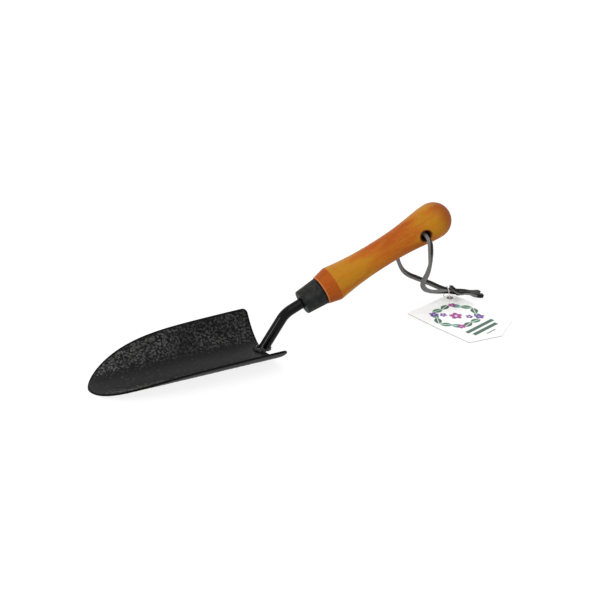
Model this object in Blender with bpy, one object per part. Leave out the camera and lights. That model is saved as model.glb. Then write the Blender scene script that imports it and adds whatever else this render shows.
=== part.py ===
"""Planting trowel: a pressed steel scoop on a bent rod neck, a ferrule, a turned wooden handle,
a leather hang cord tied below the handle, and a swing tag held on a thin loop.

Metres, +Z up. The trowel rests on the flat keel of its scoop, tip towards -X, handle end towards +X,
and its plane of symmetry is Y = 0. The origin is below the middle of the trowel, on the ground.
"""
import math

import bmesh
import bpy
from mathutils import Matrix, Vector

# Scoop
BLADE_LENGTH = 0.153
BLADE_WIDTH = 0.0849
BLADE_THICKNESS = 0.0016
BLADE_ARC_RADIUS = 0.0513
KEEL_FLAT_WIDTH = 0.005
TIP_FULLNESS = 5.02
TIP_POWER = 0.613
TIP_TAPER = 0.0594
HEEL_SWEEP = 0.0048
HEEL_SWEEP_REACH = 0.020
HEEL_CORNER_RADIUS = 0.0031

# Neck: a round rod from the scoop's heel, bent once, whose tang runs into the handle
NECK_DIAMETER = 0.0092
NECK_FOOT_OVERHANG = 0.0014
NECK_PITCH = math.radians(54.5)
NECK_RISE = 0.03568
NECK_RUN = 0.01758
NECK_BEND_RADIUS = 0.022
TANG_LENGTH = 0.052

# Weld round the foot of the neck
BEAD_RADIUS = 0.0017
BEAD_SPREAD = 0.0003
BEAD_RIPPLES = 7
BEAD_RIPPLE_DEPTH = 0.14

# Ferrule
FERRULE_LENGTH = 0.0195
FERRULE_FRONT_DIAMETER = 0.0214
FERRULE_REAR_DIAMETER = 0.0247
FERRULE_WALL = 0.0012
FERRULE_EDGE_ROUND = 0.0009

# Handle, measured along its own axis
HANDLE_PITCH = math.radians(22.3)
HANDLE_FRONT_DIAMETER = 0.0258
HANDLE_CHAMFER_LENGTH = 0.0117
SHOULDER_DIAMETER = 0.0314
SHOULDER_TO_WAIST = 0.0462
WAIST_DIAMETER = 0.0241
WAIST_TO_BULB = 0.0610
BULB_DIAMETER = 0.0324
BULB_SWELL = 1.6

# Hang hole, across the handle
HOLE_DIAMETER = 0.009
HOLE_BEFORE_BULB = 0.0168
HOLE_MOUTH_ROUND = 0.0016

# Leather hang cord and its knot
CORD_DIAMETER = 0.003
CORD_MAX_STEP = 0.0066
CORD_MAX_TURN = math.radians(30)

# Thin loop that holds the tag
LOOP_GAUGE = 0.0008
LOOP_MAX_STEP = 0.003
LOOP_MAX_TURN = math.radians(34)

# Swing tag
TAG_WIDTH = 0.061
TAG_SIDE_LENGTH = 0.0720
TAG_POINT_LENGTH = 0.0117
TAG_THICKNESS = 0.0008
TAG_CORNER_RADIUS = 0.0015
TAG_HOLE_DIAMETER = 0.0045
TAG_HOLE_FROM_END = 0.0054
TAG_HOLE_FROM_SIDE = 0.0073
TAG_HEADING = math.radians(-72.3)
TAG_UNDERSIDE = 0.0012
TAG_LEAST_HEIGHT = 0.0001

# Gap between pieces that touch, and the clearance of a piece inside another
SEAT_GAP = 0.0003

# Fineness of the curved surfaces
BLADE_COLUMNS = 8
BLADE_CORNER_ROWS = 4
BLADE_BODY_ROWS = 7
BLADE_TIP_ROWS = 11
BLADE_TIP_START = 0.55
TURNED_SIDES = 44
FERRULE_EDGE_STEPS = 3
SHOULDER_STEPS = 10
WAIST_STEPS = 14
BULB_STEPS = 10
NECK_SIDES = 20
BEND_STEPS = 8
BEAD_POINTS = 28
HOLE_SIDES = 26
HOLE_MOUTH_STEPS = 4
TAG_HOLE_SIDES = 20
TAG_CORNER_STEPS = 3
SPAN_POINTS = 12
SMOOTH_BELOW = math.radians(32)

# Length of a straight cutter, in widths of what it cuts round or through
CUTTER_REACH = 6

# Places that follow from the sizes above
FOOT_HEIGHT = BLADE_THICKNESS + SEAT_GAP
FERRULE_FRONT_X = (NECK_FOOT_OVERHANG + NECK_RISE * math.cos(NECK_PITCH)
                   + NECK_RUN * math.cos(HANDLE_PITCH))
FERRULE_FRONT_Z = (BLADE_THICKNESS + NECK_RISE * math.sin(NECK_PITCH)
                   + NECK_RUN * math.sin(HANDLE_PITCH))
WOOD_FRONT = FERRULE_LENGTH + SEAT_GAP
SHOULDER_AT = WOOD_FRONT + HANDLE_CHAMFER_LENGTH
WAIST_AT = SHOULDER_AT + SHOULDER_TO_WAIST
BULB_AT = WAIST_AT + WAIST_TO_BULB
HOLE_AT = BULB_AT - HOLE_BEFORE_BULB
HANDLE_REACH = FERRULE_FRONT_X + BULB_AT * math.cos(HANDLE_PITCH) + BULB_DIAMETER / 2
HEEL_X = (BLADE_LENGTH - HANDLE_REACH) / 2
HOLE_CENTRE = Vector((HEEL_X + FERRULE_FRONT_X + HOLE_AT * math.cos(HANDLE_PITCH), 0.0,
                      FERRULE_FRONT_Z + HOLE_AT * math.sin(HANDLE_PITCH)))

# Middle of the knot, placed from the hang hole, and its axes: along the cord, to the front, and up
KNOT_BEYOND_HOLE = 0.0507
KNOT_TO_THE_BACK = 0.0089
KNOT_HEIGHT = 0.0102
KNOT_CENTRE = Vector((HOLE_CENTRE.x + KNOT_BEYOND_HOLE, KNOT_TO_THE_BACK, KNOT_HEIGHT))
KNOT_ALONG = Vector((0.9227, -0.3839, -0.05)).normalized()
KNOT_FRONT = KNOT_ALONG.cross(Vector((0, 0, 1))).normalized()
KNOT_UP = KNOT_FRONT.cross(KNOT_ALONG)

# The tag's loop comes up through the tag's hole here, beside the knot
TAG_BEHIND_KNOT = 0.0039
TAG_BESIDE_KNOT = 0.0032
TAG_PIVOT = Vector((KNOT_CENTRE.x - TAG_BEHIND_KNOT, KNOT_CENTRE.y + TAG_BESIDE_KNOT, TAG_UNDERSIDE))
TAG_ALONG = Vector((math.cos(TAG_HEADING), math.sin(TAG_HEADING), 0))
TAG_ACROSS = Vector((-math.sin(TAG_HEADING), math.cos(TAG_HEADING), 0))
TAG_END = TAG_PIVOT - TAG_ALONG * TAG_HOLE_FROM_END


def from_hole(*points):
    """Points given in millimetres from the middle of the hang hole."""
    return [HOLE_CENTRE + Vector(point) / 1000 for point in points]


def by_knot(*points):
    """Points given in millimetres from the knot in X and Y, and from the ground in Z."""
    ground = Vector((KNOT_CENTRE.x, KNOT_CENTRE.y, 0))
    return [ground + Vector(point) / 1000 for point in points]


def in_knot(*points):
    """Points given in millimetres along, in front of and above the knot's centre."""
    return [KNOT_CENTRE + KNOT_ALONG * a / 1000 + KNOT_FRONT * f / 1000 + KNOT_UP * u / 1000
            for a, f, u in points]


def by_tag(place, *points):
    """Points given in millimetres along, across and over the tag from a place on its underside."""
    return [place + TAG_ALONG * along / 1000 + TAG_ACROSS * across / 1000 + Vector((0, 0, over / 1000))
            for along, across, over in points]


# Half of the cord that leaves the hole towards -Y, goes round the other half and ends in a tail
FRONT_ROUTE = (
    from_hole((0.9, -0.2, 0.2), (1.1, -6.0, 0.1), (1.4, -11.3, -0.8), (1.7, -14.2, -2.0),
              (2.1, -16.3, -3.6), (2.2, -18.2, -6.3), (2.1, -19.5, -10.8), (3.2, -18.5, -17.2),
              (8.6, -10.1, -30.3), (12.2, -1.0, -44.0))
    + by_knot((-38.5, -3.7, 28.3), (-36.7, -0.9, 22.6), (-34.0, -0.3, 19.1), (-27.8, -0.6, 15.6),
              (-21.3, -0.1, 13.6))
    + in_knot((-9.0, 3.5, 0.4), (-4.0, 3.5, -0.2), (-0.5, 3.5, -0.7), (1.7, 2.8, -2.1),
              (2.5, 0.5, -3.5), (1.3, -2.3, -2.9), (-1.3, -3.6, -0.6), (-3.7, -2.9, 2.1),
              (-4.9, -0.5, 3.6), (-4.3, 2.3, 3.7), (-2.1, 4.8, 2.7), (0.9, 6.2, 0.9),
              (3.9, 5.2, -0.4), (7.4, 3.8, -0.6))
    + by_knot((10.8, -7.0, 7.9), (16.2, -6.8, 5.2), (25.1, -7.6, 2.6)))

# Half that leaves towards +Y, passes through the knot and ends in a tail
BACK_ROUTE = (
    from_hole((0.9, 0.2, 0.2), (0.8, 6.0, 0.1), (0.6, 11.2, -1.0), (0.4, 14.0, -2.5),
              (0.4, 18.0, -5.2), (0.5, 22.5, -9.1), (1.0, 27.0, -14.5), (1.4, 31.1, -21.4),
              (1.4, 33.5, -29.0), (1.6, 34.3, -40.7))
    + by_knot((-44.8, 22.7, 31.2), (-38.9, 21.5, 25.5), (-32.2, 18.0, 22.1), (-21.7, 10.4, 17.6),
              (-15.4, 6.3, 14.4))
    + in_knot((-9.0, 0.0, 1.0), (-4.0, 0.0, 0.2), (0.0, 0.0, 0.0), (4.5, 0.0, 0.0), (8.5, 0.1, -0.2))
    + by_knot((13.1, -3.3, 7.6), (19.7, -1.5, 4.8), (26.7, 1.3, 2.4)))

# The thin loop: up through the tag, round both halves of the cord, and back under the tag's end
LOOP_ROUTE = (
    by_tag(TAG_PIVOT, (-0.9, 0.3, -0.6), (0.0, 0.0, 0.4), (0.3, -0.4, 1.6))
    + in_knot((-6.2, 4.0, -5.6), (-7.2, 6.1, -1.8), (-7.9, 6.1, 1.9), (-8.3, 4.0, 3.6),
              (-8.5, 1.0, 4.0), (-8.6, -2.2, 3.0), (-8.7, -4.4, -0.6), (-8.7, -5.8, -5.2))
    + by_tag(TAG_END, (-2.0, -0.2, 0.8), (-1.4, -0.1, -0.6), (1.5, 0.0, -0.7)))


def clear_scene():
    """Remove the objects the scene starts with."""
    for obj in list(bpy.data.objects):
        bpy.data.objects.remove(obj, do_unlink=True)


def material(name, colour, roughness, metallic):
    """A Principled material for one sub-part."""
    made = bpy.data.materials.new(name)
    made.use_nodes = True
    shader = made.node_tree.nodes["Principled BSDF"]
    shader.inputs["Base Color"].default_value = (*colour, 1.0)
    shader.inputs["Roughness"].default_value = roughness
    shader.inputs["Metallic"].default_value = metallic
    made.diffuse_color = (*colour, 1.0)
    return made


def link(name, data, finish=None, parent=None):
    """Put a mesh or a curve in the scene as a named object."""
    obj = bpy.data.objects.new(name, data)
    bpy.context.scene.collection.objects.link(obj)
    obj.parent = parent
    if finish is not None:
        data.materials.append(finish)
    return obj


def mesh_from(bm, name):
    """Turn a bmesh into a mesh whose faces point out and whose round parts are shaded smooth."""
    bmesh.ops.recalc_face_normals(bm, faces=bm.faces)
    mesh = bpy.data.meshes.new(name)
    bm.to_mesh(mesh)
    bm.free()
    mesh.shade_smooth()
    mesh.set_sharp_from_angle(angle=SMOOTH_BELOW)
    return mesh


def turned(name, outline, sides):
    """A body turned about Z from a closed outline of (radius, height) points."""
    bm = bmesh.new()
    verts = [bm.verts.new((radius, 0, height)) for radius, height in outline]
    edges = [bm.edges.new((verts[i], verts[(i + 1) % len(verts)])) for i in range(len(verts))]
    bmesh.ops.spin(bm, geom=verts + edges, cent=(0, 0, 0), axis=(0, 0, 1), dvec=(0, 0, 0),
                   angle=math.tau, steps=sides, use_merge=True)
    bmesh.ops.remove_doubles(bm, verts=bm.verts, dist=1e-6)
    loose = [edge for edge in bm.edges if not edge.link_faces]
    bmesh.ops.delete(bm, geom=loose, context="EDGES")
    return mesh_from(bm, name)


def cutter(name, mesh, parent=None):
    """A guide object that cuts another and is no piece of the trowel."""
    obj = link(name, mesh, parent=parent)
    obj.hide_render = True
    obj.display_type = "WIRE"
    return obj


def cut(obj, tool):
    """Take the cutter's shape out of an object."""
    modifier = obj.modifiers.new(tool.name, "BOOLEAN")
    modifier.operation = "DIFFERENCE"
    modifier.solver = "EXACT"
    modifier.object = tool


def ease(t):
    """Smooth step from 0 to 1."""
    return t * t * (3 - 2 * t)


def blade_half_width(distance):
    """Half width of the scoop at a distance from its heel."""
    t = distance / BLADE_LENGTH
    half = BLADE_WIDTH / 2 * (1 - TIP_TAPER * t) * max(0.0, 1 - t ** TIP_FULLNESS) ** TIP_POWER
    if distance < HEEL_CORNER_RADIUS:
        left = HEEL_CORNER_RADIUS - distance
        half -= HEEL_CORNER_RADIUS - math.sqrt(HEEL_CORNER_RADIUS ** 2 - left ** 2)
    return half


def blade_rise(y):
    """Height of the scoop's inner face over its keel, at a distance from the middle."""
    side = max(0.0, abs(y) - KEEL_FLAT_WIDTH / 2)
    return BLADE_ARC_RADIUS - math.sqrt(BLADE_ARC_RADIUS ** 2 - side ** 2)


def blade_rows():
    """Distances from the heel at which the scoop has a row of points, closer at corners and tip."""
    corner = [HEEL_CORNER_RADIUS * (1 - math.cos(math.pi / 2 * i / BLADE_CORNER_ROWS))
              for i in range(BLADE_CORNER_ROWS)]
    start = BLADE_LENGTH * BLADE_TIP_START
    body = [HEEL_CORNER_RADIUS + (start - HEEL_CORNER_RADIUS) * i / BLADE_BODY_ROWS
            for i in range(BLADE_BODY_ROWS)]
    first = math.asin(BLADE_TIP_START ** (TIP_FULLNESS / 2))
    tip = []
    for i in range(BLADE_TIP_ROWS):
        turn = first + (math.pi / 2 - first) * i / BLADE_TIP_ROWS
        tip.append(BLADE_LENGTH * math.sin(turn) ** (2 / TIP_FULLNESS))
    return corner + body + tip


def blade_offsets(half):
    """Distances from the middle of the points in one row, evenly spaced round the arc."""
    keel = min(KEEL_FLAT_WIDTH / 2, half / 2)
    sweep = math.asin((half - keel) / BLADE_ARC_RADIUS)
    side = [keel + BLADE_ARC_RADIUS * math.sin(sweep * i / BLADE_COLUMNS)
            for i in range(BLADE_COLUMNS + 1)]
    return [-y for y in reversed(side)] + side


def heel_shift(distance, y):
    """How far the heel's corners stand behind its middle, fading out towards the tip."""
    fade = max(0.0, 1 - distance / HEEL_SWEEP_REACH) ** 2
    side = max(0.0, abs(y) - KEEL_FLAT_WIDTH / 2)
    return HEEL_SWEEP * 2 * side / (BLADE_WIDTH - KEEL_FLAT_WIDTH) * fade


def make_blade():
    """The pressed scoop: its inner face, thickened outwards."""
    bm = bmesh.new()
    rows = []
    for distance in blade_rows():
        row = []
        for y in blade_offsets(blade_half_width(distance)):
            x = HEEL_X - distance + heel_shift(distance, y)
            row.append(bm.verts.new((x, y, BLADE_THICKNESS + blade_rise(y))))
        rows.append(row)
    tip = bm.verts.new((HEEL_X - BLADE_LENGTH, 0, BLADE_THICKNESS))
    for near, far in zip(rows, rows[1:]):
        for i in range(len(near) - 1):
            bm.faces.new((near[i], near[i + 1], far[i + 1], far[i]))
    for i in range(len(rows[-1]) - 1):
        bm.faces.new((rows[-1][i], rows[-1][i + 1], tip))
    mesh = mesh_from(bm, "blade")
    if mesh.polygons[0].normal.z < 0:
        mesh.flip_normals()
    obj = link("blade", mesh, material("black_hammered_coat", (0.035, 0.036, 0.037), 0.45, 0.3))
    thicken = obj.modifiers.new("sheet", "SOLIDIFY")
    thicken.thickness = BLADE_THICKNESS
    thicken.offset = -1
    thicken.use_even_offset = True
    return obj


def riser_direction():
    """Direction of the neck's lower, steep stretch."""
    return Vector((math.cos(NECK_PITCH), 0, math.sin(NECK_PITCH)))


def handle_direction():
    """Direction of the handle's axis, towards the bulb."""
    return Vector((math.cos(HANDLE_PITCH), 0, math.sin(HANDLE_PITCH)))


def rod_ring(bm, centre, direction):
    """A ring of points round a rod at one place."""
    turn = Vector((0, 0, 1)).rotation_difference(direction).to_matrix().to_4x4()
    made = bmesh.ops.create_circle(bm, cap_ends=False, segments=NECK_SIDES, radius=NECK_DIAMETER / 2,
                                   matrix=Matrix.Translation(centre) @ turn)
    return made["verts"]


def make_neck():
    """The bent rod, its foot cut level on the scoop and its tang inside the handle."""
    foot = Vector((HEEL_X + NECK_FOOT_OVERHANG, 0, BLADE_THICKNESS))
    up = riser_direction()
    out = handle_direction()
    corner = foot + up * NECK_RISE
    turn = NECK_PITCH - HANDLE_PITCH
    cut_back = NECK_BEND_RADIUS * math.tan(turn / 2)
    bend_start = corner - up * cut_back
    centre = bend_start + Vector((up.z, 0, -up.x)) * NECK_BEND_RADIUS

    bm = bmesh.new()
    ring = rod_ring(bm, bend_start, up)
    start = list(bm.edges)
    foot_verts = [item for item in bmesh.ops.extrude_edge_only(bm, edges=start)["geom"]
                  if isinstance(item, bmesh.types.BMVert)]
    for vert in foot_verts:
        vert.co += up * ((FOOT_HEIGHT - vert.co.z) / up.z)
    bend = bmesh.ops.spin(bm, geom=list(ring) + start, cent=centre, axis=(0, 1, 0), dvec=(0, 0, 0),
                          angle=turn, steps=BEND_STEPS, use_merge=False)
    last = [item for item in bend["geom_last"] if isinstance(item, bmesh.types.BMEdge)]
    tang = [item for item in bmesh.ops.extrude_edge_only(bm, edges=last)["geom"]
            if isinstance(item, bmesh.types.BMVert)]
    bmesh.ops.translate(bm, verts=tang, vec=out * (NECK_RUN - cut_back + TANG_LENGTH))
    bmesh.ops.holes_fill(bm, edges=bm.edges, sides=NECK_SIDES)
    return link("neck", mesh_from(bm, "neck"), material("black_gloss_coat", (0.012, 0.012, 0.013), 0.3, 0.2))


def bead_mesh():
    """A rippled ring of weld metal round the foot of the neck."""
    radius = NECK_DIAMETER / 2 + BEAD_SPREAD
    curve = bpy.data.curves.new("weld_ring", "CURVE")
    curve.dimensions = "3D"
    curve.bevel_depth = BEAD_RADIUS
    curve.bevel_resolution = 3
    spline = curve.splines.new("POLY")
    spline.points.add(BEAD_POINTS - 1)
    spline.use_cyclic_u = True
    for i, point in enumerate(spline.points):
        angle = math.tau * i / BEAD_POINTS
        x = HEEL_X + NECK_FOOT_OVERHANG + radius / math.sin(NECK_PITCH) * math.cos(angle)
        point.co = (x, radius * math.sin(angle), FOOT_HEIGHT, 1)
        point.radius = 1 + BEAD_RIPPLE_DEPTH * math.sin(BEAD_RIPPLES * angle)
    guide = cutter("weld_ring", curve)
    bpy.context.view_layer.update()
    mesh = bpy.data.meshes.new_from_object(guide.evaluated_get(bpy.context.evaluated_depsgraph_get()))
    bpy.data.objects.remove(guide, do_unlink=True)
    return mesh


def make_weld_bead():
    """The weld, cut clear of the rod and of the scoop."""
    mesh = bead_mesh()
    mesh.shade_smooth()
    obj = link("weld_bead", mesh, material("weld_metal_coated", (0.02, 0.02, 0.021), 0.35, 0.4))

    reach = CUTTER_REACH * NECK_DIAMETER
    rod = bmesh.new()
    bmesh.ops.create_cone(rod, cap_ends=True, segments=NECK_SIDES, radius1=NECK_DIAMETER / 2 + SEAT_GAP,
                          radius2=NECK_DIAMETER / 2 + SEAT_GAP, depth=reach)
    rod_tool = cutter("neck_clearance", mesh_from(rod, "neck_clearance"))
    rod_tool.location = (HEEL_X + NECK_FOOT_OVERHANG, 0, BLADE_THICKNESS)
    rod_tool.rotation_euler = (0, math.pi / 2 - NECK_PITCH, 0)

    edge = NECK_DIAMETER / 2 + BEAD_SPREAD + BEAD_RADIUS
    top = FOOT_HEIGHT + blade_rise(edge)
    floor = bmesh.new()
    bmesh.ops.create_cube(floor, size=1)
    floor_tool = cutter("blade_clearance", mesh_from(floor, "blade_clearance"))
    floor_tool.scale = (reach, reach, 2 * BEAD_RADIUS)
    floor_tool.location = (HEEL_X, 0, top - BEAD_RADIUS)

    cut(obj, rod_tool)
    cut(obj, floor_tool)
    return obj


def ferrule_radius(distance):
    """Outer radius of the ferrule at a distance from its front."""
    t = distance / FERRULE_LENGTH
    return (FERRULE_FRONT_DIAMETER + (FERRULE_REAR_DIAMETER - FERRULE_FRONT_DIAMETER) * t) / 2


def make_ferrule(axis):
    """The tapered cap: closed at the front round the rod, open at the rear."""
    bore = NECK_DIAMETER / 2 + SEAT_GAP
    back = FERRULE_LENGTH
    edge = FERRULE_EDGE_ROUND
    outline = [(bore, 0)]
    for i in range(FERRULE_EDGE_STEPS + 1):
        turn = math.pi / 2 * i / FERRULE_EDGE_STEPS
        outline.append((ferrule_radius(edge) - edge + edge * math.sin(turn), edge * (1 - math.cos(turn))))
    outline += [(ferrule_radius(back), back),
                (ferrule_radius(back) - FERRULE_WALL, back),
                (ferrule_radius(FERRULE_WALL) - FERRULE_WALL, FERRULE_WALL),
                (bore, FERRULE_WALL)]
    return link("ferrule", turned("ferrule", outline, TURNED_SIDES),
                material("ferrule_coat", (0.03, 0.034, 0.036), 0.5, 0.1), axis)


def handle_radius(distance):
    """Outer radius of the wood at a distance from the ferrule's front, up to the bulb."""
    if distance <= SHOULDER_AT:
        t = (distance - WOOD_FRONT) / HANDLE_CHAMFER_LENGTH
        return (HANDLE_FRONT_DIAMETER + (SHOULDER_DIAMETER - HANDLE_FRONT_DIAMETER) * t) / 2
    if distance <= WAIST_AT:
        t = (distance - SHOULDER_AT) / SHOULDER_TO_WAIST
        return (WAIST_DIAMETER + (SHOULDER_DIAMETER - WAIST_DIAMETER) * (1 - t) ** 2) / 2
    t = (distance - WAIST_AT) / WAIST_TO_BULB
    return (WAIST_DIAMETER + (BULB_DIAMETER - WAIST_DIAMETER) * ease(t ** BULB_SWELL)) / 2


def handle_outline():
    """Closed outline of the wood: bore, tenon, turned outside and rounded end."""
    bore = NECK_DIAMETER / 2 + SEAT_GAP
    bore_end = TANG_LENGTH + SEAT_GAP
    tenon_front = FERRULE_WALL + SEAT_GAP
    tenon_inset = FERRULE_WALL + SEAT_GAP
    outline = [(0, bore_end), (bore, bore_end), (bore, tenon_front),
               (ferrule_radius(tenon_front) - tenon_inset, tenon_front),
               (ferrule_radius(WOOD_FRONT) - tenon_inset, WOOD_FRONT)]
    stations = [WOOD_FRONT]
    stations += [SHOULDER_AT + SHOULDER_TO_WAIST * i / SHOULDER_STEPS for i in range(SHOULDER_STEPS)]
    stations += [WAIST_AT + WAIST_TO_BULB * i / WAIST_STEPS for i in range(WAIST_STEPS + 1)]
    outline += [(handle_radius(station), station) for station in stations]
    bulb = BULB_DIAMETER / 2
    for i in range(1, BULB_STEPS):
        turn = math.pi / 2 * i / BULB_STEPS
        outline.append((bulb * math.cos(turn), BULB_AT + bulb * math.sin(turn)))
    outline.append((0, BULB_AT + bulb))
    return outline


def hole_outline():
    """Outline of the hang hole's cutter, flared where it leaves the wood on both sides."""
    radius = HOLE_DIAMETER / 2
    skin = handle_radius(HOLE_AT)
    reach = skin + HOLE_DIAMETER
    side = [(radius, 0.0)]
    for i in range(HOLE_MOUTH_STEPS + 1):
        turn = math.pi / 2 * i / HOLE_MOUTH_STEPS
        side.append((radius + HOLE_MOUTH_ROUND * (1 - math.cos(turn)),
                     skin - HOLE_MOUTH_ROUND * (1 - math.sin(turn))))
    side.append((radius + HOLE_MOUTH_ROUND, reach))
    side.append((0, reach))
    return side + [(r, -z) for r, z in reversed(side) if z > 0]


def make_handle(axis):
    """The turned wooden handle, bored for the tang and across for the cord."""
    obj = link("handle", turned("handle", handle_outline(), TURNED_SIDES),
               material("varnished_wood", (0.5, 0.16, 0.025), 0.35, 0.0), axis)
    tool = cutter("hang_hole", turned("hang_hole", hole_outline(), HOLE_SIDES), axis)
    tool.location = (0, 0, HOLE_AT)
    tool.rotation_euler = (math.pi / 2, 0, 0)
    cut(obj, tool)
    return obj


def curve_through(route, closed=False):
    """Fine points on a smooth curve through the points of a route."""
    count = len(route)
    spans = count if closed else count - 1
    fine = []
    for i in range(spans):
        if closed:
            p0, p1, p2, p3 = (route[(i + k) % count] for k in (-1, 0, 1, 2))
        else:
            p1, p2 = route[i], route[i + 1]
            p0 = route[i - 1] if i > 0 else p1 * 2 - p2
            p3 = route[i + 2] if i + 2 < count else p2 * 2 - p1
        gaps = [math.sqrt((b - a).length) for a, b in ((p0, p1), (p1, p2), (p2, p3))]
        t0, t1 = 0.0, gaps[0]
        t2 = t1 + gaps[1]
        t3 = t2 + gaps[2]
        for k in range(SPAN_POINTS):
            t = t1 + (t2 - t1) * k / SPAN_POINTS
            a1 = p0 * ((t1 - t) / (t1 - t0)) + p1 * ((t - t0) / (t1 - t0))
            a2 = p1 * ((t2 - t) / (t2 - t1)) + p2 * ((t - t1) / (t2 - t1))
            a3 = p2 * ((t3 - t) / (t3 - t2)) + p3 * ((t - t2) / (t3 - t2))
            b1 = a1 * ((t2 - t) / (t2 - t0)) + a2 * ((t - t0) / (t2 - t0))
            b2 = a2 * ((t3 - t) / (t3 - t1)) + a3 * ((t - t1) / (t3 - t1))
            fine.append(b1 * ((t2 - t) / (t2 - t1)) + b2 * ((t - t1) / (t2 - t1)))
    if not closed:
        fine.append(route[-1].copy())
    return fine


def spaced(fine, max_step, max_turn, closed=False):
    """Points read off a fine curve, closer together where it bends."""
    kept = [fine[0]]
    run = 0.0
    turned_by = 0.0
    for before, here, after in zip(fine, fine[1:], fine[2:]):
        run += (here - before).length
        turned_by += (here - before).angle(after - here, 0.0)
        if run >= max_step or turned_by >= max_turn:
            kept.append(here)
            run = 0.0
            turned_by = 0.0
    if not closed:
        if (fine[-1] - kept[-1]).length < max_step / 3:
            kept.pop()
        kept.append(fine[-1])
    return kept


def strand(name, points, diameter, finish, closed=False):
    """A tube along the points, with filled ends unless it is a closed ring."""
    curve = bpy.data.curves.new(name, "CURVE")
    curve.dimensions = "3D"
    curve.bevel_depth = diameter / 2
    curve.bevel_resolution = 2
    curve.use_fill_caps = not closed
    spline = curve.splines.new("POLY")
    spline.points.add(len(points) - 1)
    spline.use_cyclic_u = closed
    for target, place in zip(spline.points, points):
        target.co = (*place, 1)
    return link(name, curve, finish)


def make_cord():
    """The two halves of the hang cord, which meet in the middle of the hang hole."""
    for side, route in (("front", FRONT_ROUTE), ("back", BACK_ROUTE)):
        points = spaced(curve_through(route), CORD_MAX_STEP, CORD_MAX_TURN)
        leather = material("leather_" + side, (0.03, 0.028, 0.026), 0.55, 0.0)
        strand("hang_cord_" + side, points, CORD_DIAMETER, leather)


def make_tag_loop():
    """The thin ring that holds the tag on the cord."""
    points = spaced(curve_through(LOOP_ROUTE, closed=True), LOOP_MAX_STEP, LOOP_MAX_TURN, closed=True)
    strand("tag_loop", points, LOOP_GAUGE, material("clear_nylon", (0.85, 0.85, 0.85), 0.3, 0.0), closed=True)


def tag_corners():
    """Corners of the tag as (along, across) from its hole: along runs towards the pointed end."""
    end = -TAG_HOLE_FROM_END
    shoulder = end + TAG_SIDE_LENGTH
    far = TAG_HOLE_FROM_SIDE
    near = far - TAG_WIDTH
    return [(end, near), (shoulder, near), (shoulder + TAG_POINT_LENGTH, (near + far) / 2),
            (shoulder, far), (end, far)]


def make_tag():
    """The swing tag, its origin on the axis it turns about in its hole."""
    corners = tag_corners()
    bm = bmesh.new()
    bottom = bm.faces.new([bm.verts.new((along, across, 0)) for along, across in corners])
    top = [item for item in bmesh.ops.extrude_face_region(bm, geom=[bottom])["geom"]
           if isinstance(item, bmesh.types.BMVert)]
    bmesh.ops.translate(bm, verts=top, vec=(0, 0, TAG_THICKNESS))
    upright = [edge for edge in bm.edges if abs(edge.verts[0].co.z - edge.verts[1].co.z) > TAG_THICKNESS / 2]
    bmesh.ops.bevel(bm, geom=upright, offset=TAG_CORNER_RADIUS, offset_type="OFFSET",
                    segments=TAG_CORNER_STEPS, profile=0.5, affect="EDGES")
    tag = link("tag", mesh_from(bm, "tag"), material("white_card", (0.82, 0.82, 0.82), 0.4, 0.0))

    reach = max(math.hypot(along, across) for along, across in corners)
    tilt = math.asin((TAG_UNDERSIDE - TAG_LEAST_HEIGHT) / reach)
    place = (Matrix.Translation(TAG_PIVOT) @ Matrix.Rotation(TAG_HEADING, 4, "Z")
             @ Matrix.Rotation(tilt, 4, "Y"))
    tag.matrix_world = place

    hole = bmesh.new()
    bmesh.ops.create_cone(hole, cap_ends=True, segments=TAG_HOLE_SIDES, radius1=TAG_HOLE_DIAMETER / 2,
                          radius2=TAG_HOLE_DIAMETER / 2, depth=CUTTER_REACH * TAG_THICKNESS)
    tool = cutter("tag_hole", mesh_from(hole, "tag_hole"))
    tool.matrix_world = place
    cut(tag, tool)
    return tag


def build():
    """Make every piece of the trowel."""
    clear_scene()
    make_blade()
    make_neck()
    make_weld_bead()
    axis = bpy.data.objects.new("handle_axis", None)
    bpy.context.scene.collection.objects.link(axis)
    axis.location = (HEEL_X + FERRULE_FRONT_X, 0, FERRULE_FRONT_Z)
    axis.rotation_euler = (0, math.pi / 2 - HANDLE_PITCH, 0)
    make_ferrule(axis)
    make_handle(axis)
    make_cord()
    make_tag_loop()
    make_tag()


build()
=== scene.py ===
"""Planting trowel: hammered scoop, rod neck, ferrule, wooden handle, leather lace and swing tag."""
from math import asin, atan2, cos, pi, radians, sin, sqrt, tan, tau

import bmesh
import bpy
import numpy as np
from mathutils import Matrix, Vector


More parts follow.
